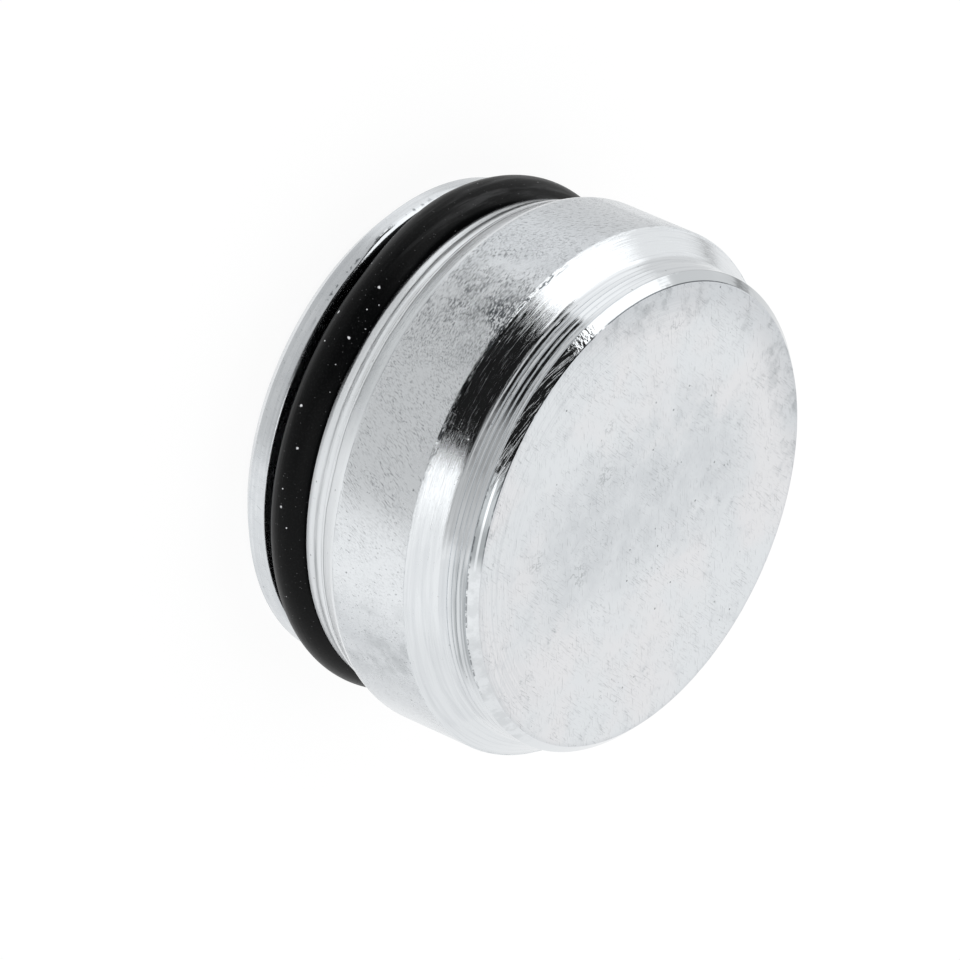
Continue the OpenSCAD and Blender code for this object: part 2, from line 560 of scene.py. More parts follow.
class Coat:
    """Zinc plate on one zone of the body, built up feature by feature."""

    def __init__(self, name, look, roughness, along=1.0, outward=0.0):
        self.made, self.tree = material(name)
        self.look = look
        self.at = Place(self.tree)
        # Distance along the profile, as parts of the height and the radius
        self.station = self.at.z * along + self.at.out * outward
        self.base = solid(look.zinc)
        self.rough = roughness
        self.metal = 1.0
        self.layers = []

    def tint(self, mask, amount, shade):
        """Lays a shade over the plate, as strong as the mask and the amount say."""
        self.base = blend_colour(self.tree, mask * amount, self.base, solid(shade))

    def roughen(self, mask, amount):
        """Makes the plate duller within the mask, or shinier by an amount below 0."""
        self.rough = mask * amount + self.rough

    def frost(self, mask, amount):
        """Takes the mirror shine off the plate, so that its own pale colour shows."""
        self.metal = mask * -amount + self.metal

    def press(self, height, depth):
        """Adds a pattern to the plate's relief, its depth in millimetres."""
        self.layers.append((height, depth))

    def lines(self, reach, fineness, seed, detail=3.0, rough=0.6):
        """Noise in lines round the axis that lie side by side along the profile."""
        return self.at.turned(self.station, reach, fineness, seed, detail, rough)

    def clouds(self, amount, scale, low, high, roughening):
        """Broad dull patches in the plate."""
        broad = self.at.mm.noise(scale, 4.0, 0.55)
        small = self.at.mm.noise(1.9, 4.0, 0.62)
        mask = (broad * 0.7 + small * 0.3).fade(low, high)
        self.tint(mask, amount, self.look.stain_and_shade)
        self.roughen(mask, roughening)

    def turned_lines(self, reach, fineness, depth, seed=3.1, tone=0.0):
        """Lines that the cutting tool left round the axis."""
        lines = self.lines(reach, fineness, seed, rough=0.62)
        self.press(lines, depth)
        if tone:
            self.tint(lines.fade(0.60, 0.38), tone, self.look.stain_and_shade)

    def mirror(self, wave, line, grain):
        """Unevenness of the bright turned surfaces."""
        self.turned_lines(2.6, 8.0, wave, 1.3)
        self.turned_lines(5.0, 24.0, line, 6.1)
        self.grit(13.0, grain)

    def scratch(self, marks, where=1.0):
        """Fine scratches or dashes that all run one way."""
        spots = self.at.marks(marks) * where
        self.tint(spots, marks.tone, self.look.grime_and_dark_reflection)
        if marks.depth:
            self.press(spots, -marks.depth)

    def grit(self, fineness, depth):
        """Fine unevenness without direction."""
        self.press(self.at.mm.noise(fineness, 2.0, 0.6), depth)

    def dirt(self, per_mm, size, chance, seed, tone, where=1.0):
        """Dark specks in the plate."""
        self.tint(self.at.specks(per_mm, size, chance, seed) * where, tone, self.look.grime_and_dark_reflection)

    def smudge(self, x, y, size, seed):
        """A small dark scuff with a ragged outline, round the spot (x, y)."""
        near = (self.at.mm * (1, 1, 0) - (x, y, 0.0)).length().fade(size, size * 0.2)
        veins = (self.at.mm + (seed, 0.0, 0.0)).noise(1.6, 4.0, 0.7)
        self.tint(near * (veins - 0.5).size().fade(0.035, 0.008), 0.50, self.look.streak_and_shade)

    def close(self):
        inputs = {"Base Color": self.base, "Metallic": self.metal, "Roughness": self.rough}
        inputs["Normal"] = bump(self.tree, self.layers)
        close_material(self.tree, "ShaderNodeBsdfPrincipled", inputs)
        return self.made


FLANGE_SCRATCHES = Marks((0.3, 0.2, 0.9), 0.5, 0.045, 0.66, 4.0, 0.3)


def sealing_end_zinc(look, h):
    """The flange is brighter on its worn side and has a broken rough line beside it."""
    coat = Coat("zinc_sealing_end", look, look.flange_roughness, 1.0, 1.0)
    at = coat.at
    up = at.up_from(h.flange_z)
    coat.clouds(0.45, 0.28, 0.42, 0.68, 0.08)
    coat.roughen(at.side(-112, -31, 3) * up.fade(-0.43, -0.35), -0.18)
    # Painted shade: the flange darker on the turns from -92 to -16, most from -42 to -14
    coat.tint(at.side(-92, -16, 10), 0.12, look.stain_and_shade)
    coat.tint(at.side(-42, -14, 7), 0.34, look.stain_and_shade)
    coat.turned_lines(1.6, 9.0, 0.004, tone=0.40)
    coat.turned_lines(3.0, 34.0, 0.0012, 9.7, tone=0.15)
    coat.scratch(FLANGE_SCRATCHES)
    rough_line = up.window(-0.35, -0.23, 0.05) * at.patches(2.6, 0.50, 0.60)
    coat.tint(rough_line * at.side(-52, -12, 6), 0.85, look.grime_and_dark_reflection)
    coat.dirt(2.6, 0.14, 0.2, 31.0, 0.5)
    return coat.close()


LIP_SCRATCHES = Marks((0.2, 0.1, 0.9), 0.4, 0.045, 0.70, 9.0, 0.4)


def lip_zinc(look, h):
    """The lip has a wavy streak of painted shade; the ramp above it starts with a fine line of painted
    shade, and a painted dark reflection of the ring darkens it on the camera's side.
    """
    coat = Coat("zinc_lip", look, look.lip_roughness)
    at = coat.at
    ramp = at.up_from(h.ramp_z).fade(-0.05, 0.20)
    # Painted dark reflection of the ring: the ramp darker on the turns from -34 to 9
    coat.tint(ramp * at.side(-34, 9, 9), 0.42, look.streak_and_shade)
    sway = ((at.round * 4.0).noise(1.0, 3.0, 0.6) - 0.5) * 0.34
    texture = coat.lines(5.0, 9.0, 2.2, 4.0, 0.65)
    # Painted shade: a wavy dark streak where the lip's slope dips, broken by the turned texture
    streak_and_shade = (at.up_from(h.lip_z) + sway).window(0.66, 0.86, 0.12)
    coat.tint(streak_and_shade * texture.fade(0.68, 0.38), 0.55, look.streak_and_shade)
    # Painted shade: a fine dark line just above the bend from the lip into the ramp
    line = (at.up_from(h.ramp_z) + sway).window(0.06, 0.11, 0.035)
    coat.tint(line, 0.85, look.streak_and_shade)
    coat.press(texture, 0.009)
    coat.turned_lines(3.0, 26.0, 0.0012, 7.0, tone=0.10)
    coat.scratch(LIP_SCRATCHES)
    coat.dirt(2.3, 0.13, 0.16, 31.0, 0.6)
    coat.frost(at.side(6, 80, 12), 0.85)
    coat.frost(ramp * at.side(-64, -42, 6), 0.45)
    return coat.close()


UPPER_DASHES = Marks((0.5, -0.87, -0.5), 0.28, 0.042, 0.58, 2.0, 0.42, 0.0020, 0.035)
MIDDLE_DASHES = Marks((0.87, -0.5, 0.05), 0.25, 0.040, 0.55, 5.0, 0.66, 0.0040, 0.035)
LOWER_DASHES = Marks((0.42, 0.11, 0.9), 0.26, 0.032, 0.56, 8.0, 0.44, 0.0022, 0.035)
LONG_DASHES = Marks((0.42, 0.11, 0.9), 0.34, 0.045, 0.68, 28.0, 0.55, 0.0020, 0.035)
# The cluster's dashes and pores are fully dark: real pits, with a painted dark reflection in them
CLUSTER_DASHES = Marks((0.87, -0.5, 0.12), 0.30, 0.064, 0.50, 15.0, 1.0, 0.004, 0.035)
CLUSTER_PORES = Marks((0.87, -0.5, 0.6), 0.20, 0.075, 0.57, 35.0, 1.0, 0.003, 0.035)
# Stretches of the band painted darker as shade: turn at which each starts and ends, softness and
# strength
BAND_PAINTED_SHADE = ((-72, -36, 8, 0.42), (-58, -38, 5, 0.45), (-76, -73.5, 1.2, 0.55), (45, 75, 7, 0.45))


def band_zinc(look, h):
    """The band is matt, with pores and with short dashes whose run changes round the band."""
    coat = Coat("zinc_band", look, look.band_roughness)
    at = coat.at
    up = at.up_from(h.band_z)
    coat.clouds(0.40, 0.34, 0.50, 0.74, 0.04)
    # Painted shade on set stretches round the band
    for start, end, soft, amount in BAND_PAINTED_SHADE:
        coat.tint(at.side(start, end, soft), amount, look.stain_and_shade)
    # Painted shade in soft patches on the turns from 42 to 62
    coat.tint(at.side(42, 62, 6) * at.patches(0.5, 0.46, 0.66, 4.0), 0.40, look.streak_and_shade)
    lower = at.side(-16, 75, 5)
    lit = 1.0 - at.side(20, 75, 5) * 0.6
    patchy = at.patches(0.7, 0.30, 0.58)
    coat.scratch(UPPER_DASHES, at.side(-120, -44, 8))
    coat.scratch(MIDDLE_DASHES, at.side(-46, -13, 7) * patchy)
    coat.scratch(LOWER_DASHES, lower * patchy * lit)
    coat.scratch(LONG_DASHES, lower)
    # A cluster of pits on the turns from -31 to -20, darkened partly by real pits and partly by painted
    # dark reflection
    pits_and_dark_reflection = at.side(-31, -20, 6) * at.patches(0.9, 0.34, 0.58) * (up.fade(0.304, 3.504) * 0.6 + 0.4)
    coat.tint(pits_and_dark_reflection, 0.08, look.stain_and_shade)
    coat.scratch(CLUSTER_DASHES, pits_and_dark_reflection)
    coat.scratch(CLUSTER_PORES, pits_and_dark_reflection)
    coat.dirt(5.0, 0.30, 0.4, 5.0, 0.85, pits_and_dark_reflection)
    line = up.window(0.004, 0.044, 0.03) * at.patches(0.9, 0.36, 0.60)
    coat.tint(line, 0.5, look.streak_and_shade)
    coat.dirt(5.0, 0.20, 0.26, 15.0, 0.55)
    coat.dirt(2.3, 0.13, 0.16, 31.0, 0.7)
    coat.grit(11.0, 0.0012)
    return coat.close()


def shoulder_zinc(look, h):
    """The shoulder is bright, with faint turned marks, dust flecks and a nicked sharp edge, along which
    a broken dark reflection is painted on the camera's side.
    """
    coat = Coat("zinc_shoulder", look, look.bright_roughness, 0.7, -0.7)
    at = coat.at
    coat.mirror(0.0130, 0.0055, 0.0016)
    coat.roughen(coat.lines(7.0, 26.0, 8.3).fade(0.58, 0.68), 0.30)
    coat.roughen(coat.lines(13.0, 44.0, 18.3, 2.0, 0.5).fade(0.50, 0.66), 0.12)
    coat.roughen(at.specks(8.0, 0.30, 0.34, 3.0) * at.patches(0.8, 0.40, 0.62, 2.0, 0.5), 0.25)
    coat.tint(coat.lines(2.0, 6.0, 4.4).fade(0.54, 0.36), 0.26, look.stain_and_shade)
    dull = coat.lines(2.6, 3.0, 24.4, 4.0) * at.side(22, 80, 5)
    coat.tint(dull.fade(0.42, 0.62), 0.20, look.stain_and_shade)
    inside = at.in_from(h.band_r)
    coat.press(coat.lines(30.0, 12.0, 33.0) * inside.fade(0.1445, 0.0445), 0.034)
    # Painted dark reflection along the sharp edge, broken into pieces, on the turns from -43 to 6
    broken_edge_reflection = coat.lines(22.0, 9.0, 53.0, rough=0.7).fade(0.50, 0.56) * inside.fade(0.1845, 0.1245)
    coat.tint(broken_edge_reflection * at.side(-43, 6, 4), 0.92, look.grime_and_dark_reflection)
    flecks = at.specks(3.0, 0.17, 0.10, 21.0)
    coat.tint(flecks, 0.9, look.dust_and_sheen)
    coat.frost(flecks, 0.9)
    return coat.close()


def stub_zinc(look, h):
    """The stub's wall is bright, and dull and streaky on one side near the face."""
    coat = Coat("zinc_stub", look, look.bright_roughness)
    at = coat.at
    up = at.up_from(h.wall_z)
    coat.mirror(0.0060, 0.0024, 0.0008)
    coat.tint(coat.lines(2.4, 7.0, 4.4).fade(0.56, 0.36), 0.34, look.stain_and_shade)
    dull = coat.lines(2.0, 4.0, 24.4, 4.0) * at.side(24, 80, 5)
    coat.tint(dull.fade(0.42, 0.62), 0.45, look.stain_and_shade)
    outer = up.fade(0.227, 0.627) * at.side(24, 58, 6)
    drawn = coat.lines(2.2, 9.0, 44.4).fade(0.66, 0.36)
    coat.tint(outer * (drawn * 0.75 + 0.25), 0.72, look.streak_and_shade)
    coat.roughen(at.side(24, 80, 5), 0.16)
    coat.press(coat.lines(4.0, 13.0, 14.4) * up.fade(0.127, -0.073), 0.016)
    coat.dirt(3.0, 0.16, 0.12, 21.0, 0.5)
    return coat.close()


def chamfer_zinc(look, h):
    """The chamfer has one crumpled spot and chatter marks that lean across it."""
    coat = Coat("zinc_chamfer", look, look.bright_roughness, 0.7, -0.7)
    at = coat.at
    up = at.up_from(h.chamfer_z)
    coat.turned_lines(2.2, 4.0, 0.0080, 1.3)
    coat.press(at.mm.noise(1.9, 3.0, 0.6) * at.side(-37, -28, 3), 0.13)
    leaning = at.turn * 0.035 + coat.station
    chatter = at.turned(leaning, 5.0, 13.0, 4.0).fade(0.50, 0.66) * at.side(-34, 8, 5)
    coat.press(chatter, -0.0075)
    coat.roughen(chatter, 0.16)
    # Painted dark reflection: the chamfer darker on the turns from 4 to 26 except a band round its
    # middle, and from -125 to -62
    off_middle = (up - 0.184).size().fade(0.02, 0.05)
    coat.tint(at.side(4, 26, 3) * off_middle, 0.78, look.streak_and_shade)
    coat.tint(at.side(-125, -62, 4), 0.40, look.streak_and_shade)
    worn = at.patches(1.3, 0.40, 0.62, 4.0, 0.62)
    coat.tint(worn * at.side(-62, -38, 2), 0.14, look.streak_and_shade)
    coat.tint(worn * at.side(24, 85, 4), 0.20, look.streak_and_shade)
    coat.roughen(at.side(-38, 85, 6), 0.05)
    # Painted dark reflections in broken lines along the chamfer's lower edge and its upper edge
    low_edge_dark_reflection = up.window(-0.016, 0.034, 0.03) * at.patches(2.2, 0.44, 0.52, 4.0, 0.65)
    coat.tint(low_edge_dark_reflection * at.side(8, 60, 6), 0.85, look.grime_and_dark_reflection)
    outline = up.fade(0.339, 0.369) * at.side(-88, 24, 6) * at.patches(1.6, 0.30, 0.46)
    coat.tint(outline, 0.9, look.grime_and_dark_reflection)
    return coat.close()


# Small dark scuffs on the face: x and y in millimetres, size and seed
FACE_SMUDGES = (
    (-0.9, -3.6, 0.9, 3.0), (-2.9, -5.0, 0.5, 9.0), (3.5, -2.6, 1.0, 15.0),
    (3.7, -5.9, 0.8, 21.0), (-8.2, -3.4, 0.7, 27.0),
)
ACROSS_BELT = (0.77, 0.64, 0.0)
ALONG_BELT = (-0.64, 0.77, 0.0)
FACE_FINE = Marks((0.13, 0.99, 0.0), 0.55, 0.034, 0.60, 3.0, 0.26)
FACE_CROSSING = Marks((0.75, 0.66, 0.0), 0.50, 0.034, 0.65, 17.0, 0.32)
FACE_BELT = Marks((-0.5, 0.86, 0.0), 0.60, 0.036, 0.66, 23.0, 0.26)
FACE_LONG = Marks((0.97, -0.2, 0.0), 1.5, 0.040, 0.74, 43.0, 0.30)


def face_zinc(look, h):
    """The face is dull in one broad belt across its middle and pale at both sides of it."""
    coat = Coat("zinc_face", look, look.face_roughness, 0.0, 1.0)
    at = coat.at
    inside = at.in_from(h.face_r)
    across = (at.mm.noise(0.28, 4.0, 0.6) - 0.5) * 9.0 + at.mm.along(ACROSS_BELT)
    belt = across.window(-3.6, 2.4, 2.2) * at.mm.along(ALONG_BELT).window(-7.0, 7.2, 2.6)
    mottle = at.patches(0.9, 0.30, 0.66, 5.0, 0.66) * 0.6 + 0.4
    coat.tint(belt * mottle, 0.60, look.stain_and_shade)
    warm = (at.mm + (40.0, 0.0, 0.0)).noise(0.19, 3.0, 0.5).fade(0.40, 0.58)
    coat.tint(warm * belt.fade(0.8, 0.2), 0.6, look.bloom)
    coat.tint(at.patches(1.1, 0.52, 0.74, 5.0, 0.68), 0.36, look.stain_and_shade)
    arcs = at.turned(at.out, 1.6, 15.0, 5.0, 2.0, 0.5).fade(0.56, 0.40)
    coat.tint(arcs * inside.fade(3.4445, 0.4445) * at.y.fade(1.0, -5.0), 0.34, look.stain_and_shade)
    # Painted shade: the face darker towards its rim where x is below -3 mm, in patches there, and in a
    # thin ring all round the rim
    edge = inside.fade(2.2445, 0.0245) * at.x.fade(-3.0, -8.0)
    coat.tint(edge, 0.62, look.stain_and_shade)
    coat.tint(edge * at.patches(1.1, 0.48, 0.66, 4.0), 0.42, look.streak_and_shade)
    coat.tint(inside.fade(0.2445, -0.0155), 0.35, look.stain_and_shade)
    patchy = at.patches(0.55, 0.36, 0.62)
    coat.scratch(FACE_FINE, patchy)
    coat.scratch(FACE_CROSSING)
    coat.scratch(FACE_BELT, patchy * belt)
    coat.scratch(FACE_LONG)
    coat.tint(at.patches(2.2, 0.64, 0.76, 4.0, 0.65), 0.34, look.streak_and_shade)
    for smudge in FACE_SMUDGES:
        coat.smudge(*smudge)
    coat.dirt(5.0, 0.20, 0.30, 5.0, 0.40, patchy)
    coat.dirt(1.6, 0.10, 0.16, 31.0, 0.75)
    coat.grit(5.0, 0.0014)
    return coat.close()


def ring_rubber(look):
    """Black rubber with a soft streaky sheen painted into its colour on one side, and dust flecks."""
    made, tree = material("ring_rubber")
    at = Place(tree)
    grain = at.mm.noise(9.0, 3.0, 0.6)
    streaks = at.turned(at.z, 2.2, 3.5, 2.0, 4.0, 0.65)
    # Painted sheen: streaky paler colour on the turns from -125 to -40
    painted_sheen = streaks.fade(0.46, 0.70) * at.side(-125, -40, 22) * 0.048
    mottle = at.patches(14.0, 0.48, 0.72, 2.0) * 0.006
    shift = put(tree, "ShaderNodeTexNoise", {"Vector": at.mm, "Scale": 6.0}).outputs[1]
    bent = Arrow(shift) * 0.10 + at.mm
    flecks = at.specks(1.15, 0.100, 0.27, 2.0, bent).larger(at.specks(2.6, 0.125, 0.15, 11.0, bent))
    flecks = flecks.larger(at.specks(8.0, 0.22, 0.16, 7.0) * 0.10)
    base = blend_colour(tree, painted_sheen + mottle, solid(look.rubber), solid(look.dust_and_sheen))
    inputs = {
        "Base Color": blend_colour(tree, flecks, base, solid(look.dust_and_sheen)),
        "Roughness": (grain * 0.10 + 0.30).larger(flecks * 0.9),
        "Specular IOR Level": 0.085,
        "Normal": bump(tree, [(grain, 0.004), (streaks, 0.02), (flecks, 0.02)]),
    }
    close_material(tree, "ShaderNodeBsdfPrincipled", inputs)
    return made


# Node trees that make the two pieces


def piece_tree(name, inputs):
    """A tree with the named inputs, and the sockets that bring them in."""
    tree = bpy.data.node_groups.new(name, "GeometryNodeTree")
    for text, kind in inputs.items():
        tree.interface.new_socket(text, in_out="INPUT", socket_type="NodeSocket" + kind)
    tree.interface.new_socket("Made", in_out="OUTPUT", socket_type="NodeSocketGeometry")
    return tree, put(tree, "NodeGroupInput").outputs


def here(tree):
    return Arrow(put(tree, "GeometryNodeInputPosition").outputs[0])


def whole_mesh(tree, mesh):
    smooth = put(tree, "GeometryNodeSetShadeSmooth", {"Geometry": mesh})
    return put(tree, "GeometryNodeRealizeInstances", {"Geometry": smooth.outputs[0]}).outputs[0]


def painted(tree, mesh, finish, where=True):
    inputs = {"Geometry": mesh, "Selection": where, "Material": finish}
    return put(tree, "GeometryNodeSetMaterial", inputs).outputs[0]


LATHE_INPUTS = {
    "Profile": "Geometry", "Segments": "Int", "Points": "Int", "Nick depth": "Float",
    "Nick size": "Float", "Ease from": "Float", "Ease to": "Float",
}
# How softly the worn side of the flange starts and ends, in degrees
EASE_SOFT = 6.0
# Nicks per millimetre in the worn edges
NICK_SIZE = 2.2
# Points closer than this are joined where the lathe closes
SEAM = 0.0004 * MM
# How far the lip's plate reaches down into the groove, and the face's down over its edge
LIP_REACH = 0.05 * MM
FACE_REACH = 0.012 * MM


def lathe_tree(zones):
    """Turns the profile that it is given round the axis, nicks its worn edges, and lays materials on it.

    zones is a list of (input name, material); each zone starts at its own height.
    """
    tree, given = piece_tree("Lathe", LATHE_INPUTS | {name: "Float" for name, _ in zones})
    segments, points = Number(given["Segments"]), Number(given["Points"])
    size = {"Size X": 1.0, "Size Y": 1.0, "Vertices X": segments + 1.0, "Vertices Y": points}
    grid = put(tree, "GeometryNodeMeshGrid", size)
    index = Number(put(tree, "GeometryNodeInputIndex").outputs[0])
    column = index.math("FLOOR", (index + 0.5) / points)
    row = index - column * points

    def of_profile(name, kind):
        value = put(tree, "GeometryNodeInputNamedAttribute", {"Name": name}, data_type=kind).outputs[0]
        inputs = {"Geometry": given["Profile"], "Index": row, "Value": value}
        return put(tree, "GeometryNodeSampleIndex", inputs, data_type=kind, domain="POINT").outputs[0]

    outline = Arrow(of_profile("position", "FLOAT_VECTOR"))
    wear = Number(of_profile("wear", "FLOAT"))
    ease = Arrow(of_profile("ease", "FLOAT_VECTOR"))
    angle = column * (2 * math.pi) / segments
    past_start = (angle.degrees() - given["Ease from"]).fade(-EASE_SOFT, EASE_SOFT)
    before_end = (Number(given["Ease to"]) - angle.degrees()).fade(-EASE_SOFT, EASE_SOFT)
    shaped = outline + ease * (past_start * before_end)
    swing = {"Vector": shaped, "Angle": angle, "Axis": (0, 0, 1)}
    swung = Arrow(put(tree, "ShaderNodeVectorRotate", swing, rotation_type="AXIS_ANGLE").outputs[0])
    chips = (swung * (1 / MM)).noise(given["Nick size"], 3.0, 0.6).fade(0.56, 0.80)
    outward = (swung * (1, 1, 0)).unit()
    dented = swung - outward * (chips * wear * given["Nick depth"])
    placed = put(tree, "GeometryNodeSetPosition", {"Geometry": grid.outputs[0], "Position": dented})
    closing = {"Geometry": placed.outputs[0], "Distance": SEAM}
    mesh = whole_mesh(tree, put(tree, "GeometryNodeMergeByDistance", closing).outputs[0])
    height = here(tree).parts()[2]
    for name, finish in zones:
        mesh = painted(tree, mesh, finish, height.math("GREATER_THAN", height, given[name]))
    put(tree, "NodeGroupOutput", {0: mesh})
    return tree


RING_INPUTS = {
    "Start": "Geometry", "Middle radius": "Float", "Section radius": "Float", "Height": "Float",
    "Lean": "Float", "Bulge": "Float", "Segments": "Int", "Section segments": "Int",
}
# Side on which the ring leans to the flange: turn at which it starts and ends, and softness
LEANING_SIDE = (-124.0, -38.0, 17.0)


def ring_tree(finish):
    """Sweeps a round section along a round path, and leans one side of it towards the flange."""
    tree, given = piece_tree("Ring", RING_INPUTS)

    def circle(points, radius):
        inputs = {"Resolution": given[points], "Radius": given[radius]}
        return put(tree, "GeometryNodeCurvePrimitiveCircle", inputs, mode="RADIUS").outputs[0]

    path, section = circle("Segments", "Middle radius"), circle("Section segments", "Section radius")
    swept = put(tree, "GeometryNodeCurveToMesh", {"Curve": path, "Profile Curve": section})
    lift = arrow_of(tree, Z=given["Height"])
    raised = put(tree, "GeometryNodeTransform", {"Geometry": swept.outputs[0], "Translation": lift})
    x, y, _ = here(tree).parts()
    outward = arrow_of(tree, X=x, Y=y).unit()
    drift = outward * given["Bulge"] + arrow_of(tree, Z=Number(given["Lean"]) * -1.0)
    offset = drift * turn_of(x, y).window(*LEANING_SIDE)
    leant = put(tree, "GeometryNodeSetPosition", {"Geometry": raised.outputs[0], "Offset": offset})
    put(tree, "NodeGroupOutput", {0: painted(tree, whole_mesh(tree, leant.outputs[0]), finish)})
    return tree


def grow(name, start, tree, values):
    """Runs a tree on a start mesh, its inputs set by name, and keeps its result as a plain mesh."""
    seed = bpy.data.objects.new(name + "_seed", start)
    bpy.context.scene.collection.objects.link(seed)
    modifier = seed.modifiers.new("Make", "NODES")
    modifier.node_group = tree
    for item in tree.interface.items_tree:
        if item.name in values:
            modifier[item.identifier] = values[item.name]
    graph = bpy.context.evaluated_depsgraph_get()
    mesh = bpy.data.meshes.new_from_object(seed.evaluated_get(graph), depsgraph=graph)
    seed.modifiers.clear()
    bpy.data.objects.remove(seed)
    mesh.name = name
    face_out(mesh)
    return linked(name, mesh)


def linked(name, data):
    made = bpy.data.objects.new(name, data)
    bpy.context.scene.collection.objects.link(made)
    return made


def face_out(mesh):
    """Turns every face outward if the mesh came out inside out."""
    form = bmesh.new()
    form.from_mesh(mesh)
    if form.calc_volume(signed=True) < 0:
        mesh.flip_normals()
    form.free()


def profile_mesh(sizes, h):
    """The body's half section as a chain of points that carry their wear and their ease."""
    points, wear = body_profile(sizes, h)
    start = bpy.data.meshes.new("turned_profile")
    chain = [(i, i + 1) for i in range(len(points) - 1)]
    start.from_pydata([(p.x, 0, p.y) for p in points], chain, [])
    start.attributes.new("wear", "FLOAT", "POINT").data.foreach_set("value", [float(w) for w in wear])
    eases = [value for ease in eased_offsets(points, sizes, h) for value in (ease.x, 0.0, ease.y)]
    start.attributes.new("ease", "FLOAT_VECTOR", "POINT").data.foreach_set("vector", eases)
    return start


def make_body():
    scene = bpy.context.scene
    sizes, look = scene.plug_sizes, scene.plug_finish
    h = Heights(sizes)
    start = profile_mesh(sizes, h)
    zones = [
        ("Nose", -1.0, sealing_end_zinc),
        ("Lip", h.lip_z - LIP_REACH, lip_zinc),
        ("Band", h.band_z, band_zinc),
        ("Shoulder", h.shoulder_z, shoulder_zinc),
        ("Stub", h.stub_z, stub_zinc),
        ("Chamfer", h.wall_top, chamfer_zinc),
        ("Face", h.face_z - FACE_REACH, face_zinc),
    ]
    tree = lathe_tree([(name, zinc(look, h)) for name, _, zinc in zones])
    values = {
        "Segments": sizes.segments,
        "Points": len(start.vertices),
        "Nick depth": sizes.nick_depth,
        "Nick size": NICK_SIZE,
        "Ease from": CAMERA_SIDE + math.degrees(sizes.ease_start),
        "Ease to": CAMERA_SIDE + math.degrees(sizes.ease_end),
    }
    values.update({name: height for name, height, _ in zones})
    piece = grow("turned_body", start, tree, values)
    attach(piece, "root")
    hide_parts(BODY_NODE)


def make_ring():
    scene = bpy.context.scene
    ring = scene.ring_sizes
    h = Heights(scene.plug_sizes)
    tree = ring_tree(ring_rubber(scene.plug_finish))
    values = {
        "Middle radius": h.floor_r + ring.clearance + ring.section / 2,
        "Section radius": ring.section / 2,
        "Height": h.lip_z - ring.gap - ring.section / 2,
        "Lean": ring.lean,
        "Bulge": ring.bulge,
        "Segments": ring.segments,
        "Section segments": ring.section_segments,
    }
    piece = grow("sealing_ring", bpy.data.meshes.new("ring_start"), tree, values)
    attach(piece, "root")
    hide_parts(RING_NODE)


# Studio

# Panels on the dome, in degrees: low and high turn from the camera's side, low and high height above
# the bench, softness, and strength. A later panel lies over an earlier one.
DOME_PANELS = (
    # soft grey of the bench in front, below eye level
    (-70, 43, -62, -2, 4.0, 0.68),
    # dimmer bench at the far left
    (-150, -108, -75, 0, 5.0, 0.80),
    # window at the left, below and above
    (-112, -71, -92, 3, 4.0, 1.06),
    (-114, -73, 3, 66, 2.5, 1.45),
    # dark room on the camera's side, with a soft grey foot at its right
    (-73, 11, -9, 84, 1.0, 0.014),
    (-14, 23, -12, 8, 10.0, 0.46),
    # sill of the left window, and its low pane that reaches into the dark
    (-114, -67, -12, 2, 1.5, 1.16),
    (-114, -57, 15, 35, 1.5, 1.45),
    # small window at the right, in two panes, and the grey wall below it
    (12, 41, 51, 66, 1.5, 1.50),
    (12, 41, 28, 46, 1.5, 1.35),
    (12, 44, -2, 28, 2.0, 0.60),
    # bright wall at the right
    (46, 90, -92, 72, 6.0, 1.06),
    # dark bench edge and bright door far behind at the left
    (-150, -145, -6, 2, 3.0, 0.40),
    (-172, -138, 7, 50, 4.0, 1.10),
)
# How fast the wavering of the panels' edges changes with the height and with the turn
FRINGE_PACE = (0.42, 0.03)
DOME_RADIUS = 2.0
DOME_RINGS = 24
DOME_COLUMNS = 48


def dome_light(studio):
    """Light of the dome: the sky's strength, with the panels laid over it."""
    made, tree = material("studio_dome")
    x, y, z = Arrow(put(tree, "ShaderNodeTexCoord").outputs["Object"]).unit().parts()
    height = z.math("ARCSINE", z).degrees()
    at = turn_of(x, y)
    fringe = arrow_of(tree, X=height * FRINGE_PACE[0], Y=at * FRINGE_PACE[1]).noise(1.0, 3.0, 0.6) - 0.5
    at = fringe * studio.panel_fringe + at
    strength = studio.sky
    for low_turn, high_turn, low, high, soft, value in DOME_PANELS:
        mask = at.window(low_turn, high_turn, soft) * height.window(low, high, soft)
        strength = mask * (value - strength) + strength
    close_material(tree, "ShaderNodeEmission", {"Color": WHITE, "Strength": strength})
    made.cycles.emission_sampling = "NONE"
    return made


def make_dome(studio):
    """A dome of soft panels round the piece that only its reflections see."""
    ball = bmesh.new()
    bmesh.ops.create_uvsphere(ball, u_segments=DOME_COLUMNS, v_segments=DOME_RINGS, radius=DOME_RADIUS)
    mesh = bpy.data.meshes.new("studio_dome")
    ball.to_mesh(mesh)
    ball.free()
    mesh.materials.append(dome_light(studio))
    dome = linked("studio_dome", mesh)
    for rays in ("camera", "diffuse", "shadow", "transmission", "volume_scatter"):
        setattr(dome, "visible_" + rays, False)


FLOOR_CORNERS = ((-3.0, -3.0), (3.0, -3.0), (3.0, 3.0), (-3.0, 3.0))
FLOOR_LEVEL = -0.01 * MM


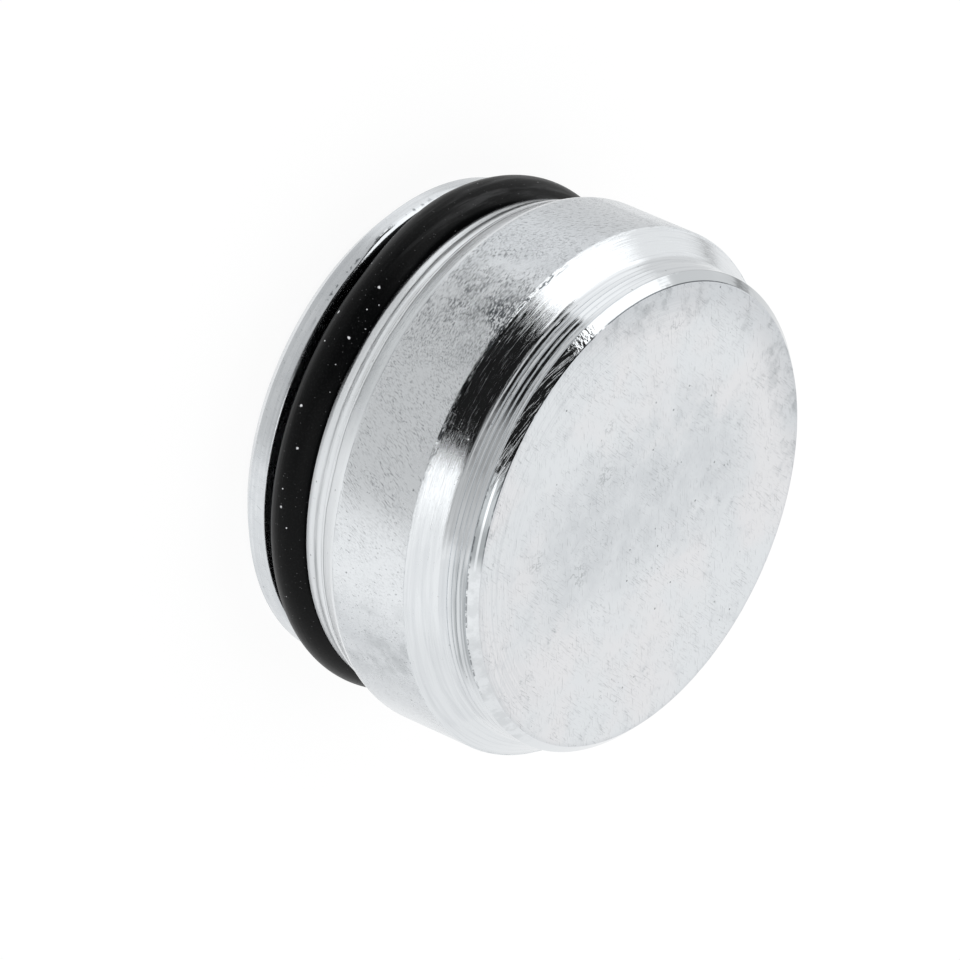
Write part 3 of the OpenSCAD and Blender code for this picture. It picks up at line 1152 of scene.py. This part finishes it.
def make_floor(studio):
    """A white floor of which only a part takes the shadow."""
    made, tree = material("studio_floor")
    matt = put(tree, "ShaderNodeBsdfDiffuse", {"Color": solid((1 - studio.floor_glow,) * 3)})
    light = {"Color": WHITE, "Strength": studio.floor_glow + 0.02}
    glow = put(tree, "ShaderNodeEmission", light)
    close_material(tree, "ShaderNodeAddShader", {0: matt.outputs[0], 1: glow.outputs[0]})
    mesh = bpy.data.meshes.new("studio_floor")
    mesh.from_pydata([(x, y, FLOOR_LEVEL) for x, y in FLOOR_CORNERS], [], [(0, 1, 2, 3)])
    mesh.materials.append(made)
    floor = linked("studio_floor", mesh)
    floor.visible_glossy = False


def make_sky(studio):
    """Soft light from all round, behind which the camera sees plain white."""
    world = bpy.data.worlds.new("studio_sky")
    world.use_nodes = True
    tree = world.node_tree
    tree.nodes.clear()
    seen = Number(put(tree, "ShaderNodeLightPath").outputs["Is Camera Ray"])
    strength = seen * (1.0 - studio.sky) + studio.sky
    light = put(tree, "ShaderNodeBackground", {"Color": WHITE, "Strength": strength})
    put(tree, "ShaderNodeOutputWorld", {"Surface": light.outputs[0]})
    bpy.context.scene.world = world


def make_camera(studio, aim_height):
    """Places the camera so that the plug's widest edge lies where the photograph has it."""
    rise, roll = studio.camera_height, studio.camera_roll
    away = Vector((0, math.cos(rise), -math.sin(rise)))
    level = Vector((1, 0, 0))
    upright = Vector((0, math.sin(rise), math.cos(rise)))
    right = math.cos(roll) * upright - math.sin(roll) * level
    down = math.sin(roll) * upright + math.cos(roll) * level
    spot = Vector((0, 0, aim_height))
    spot -= right * studio.picture_right + down * studio.picture_down + away * studio.camera_distance
    data = bpy.data.cameras.new("studio_camera")
    data.lens = studio.camera_lens
    data.sensor_width = 36.0
    data.clip_start = 0.01
    data.clip_end = 10.0
    camera = linked("studio_camera", data)
    camera.matrix_world = Matrix.Translation(spot) @ Matrix((right, -down, -away)).transposed().to_4x4()
    bpy.context.scene.camera = camera


def make_studio():
    scene = bpy.context.scene
    studio = scene.plug_studio
    scene.view_settings.view_transform = "Standard"
    make_sky(studio)
    make_floor(studio)
    make_dome(studio)
    make_camera(studio, Heights(scene.plug_sizes).shoulder_z)


# Operators and panel


class PLUG_OT_body(bpy.types.Operator):
    """Turn the zinc-plated body"""

    bl_idname = "plug.body"
    bl_label = "Turned body"

    def execute(self, context):
        make_body()
        return {"FINISHED"}


class PLUG_OT_ring(bpy.types.Operator):
    """Mould the rubber sealing ring"""

    bl_idname = "plug.ring"
    bl_label = "Sealing ring"

    def execute(self, context):
        make_ring()
        return {"FINISHED"}


class PLUG_OT_studio(bpy.types.Operator):
    """Set the floor, the light, the dome and the camera"""

    bl_idname = "plug.studio"
    bl_label = "Studio"

    def execute(self, context):
        make_studio()
        return {"FINISHED"}


class PLUG_PT_panel(bpy.types.Panel):
    bl_label = "Blanking plug"
    bl_idname = "PLUG_PT_panel"
    bl_space_type = "VIEW_3D"
    bl_region_type = "UI"
    bl_category = "Plug"

    def draw(self, context):
        for operator in OPERATORS:
            self.layout.operator(operator.bl_idname)
        for name in GROUPS:
            group = getattr(context.scene, name)
            box = self.layout.box()
            for key in group.bl_rna.properties.keys():
                if key not in {"rna_type", "name"}:
                    box.prop(group, key)


OPERATORS = (PLUG_OT_body, PLUG_OT_ring, PLUG_OT_studio)
GROUPS = {
    "plug_sizes": PlugSizes,
    "ring_sizes": RingSizes,
    "plug_finish": PlugFinish,
    "plug_studio": PlugStudio,
}


REGISTERED = (*GROUPS.values(), *OPERATORS, PLUG_PT_panel)


def register():
    for kind in REGISTERED:
        bpy.utils.register_class(kind)
    for name, kind in GROUPS.items():
        setattr(bpy.types.Scene, name, bpy.props.PointerProperty(type=kind))


def unregister():
    for name in GROUPS:
        delattr(bpy.types.Scene, name)
    for kind in reversed(REGISTERED):
        bpy.utils.unregister_class(kind)


def main():
    register()
    bpy.ops.plug.studio()
    bpy.ops.plug.body()
    bpy.ops.plug.ring()


if __name__ == "__main__":
    main()
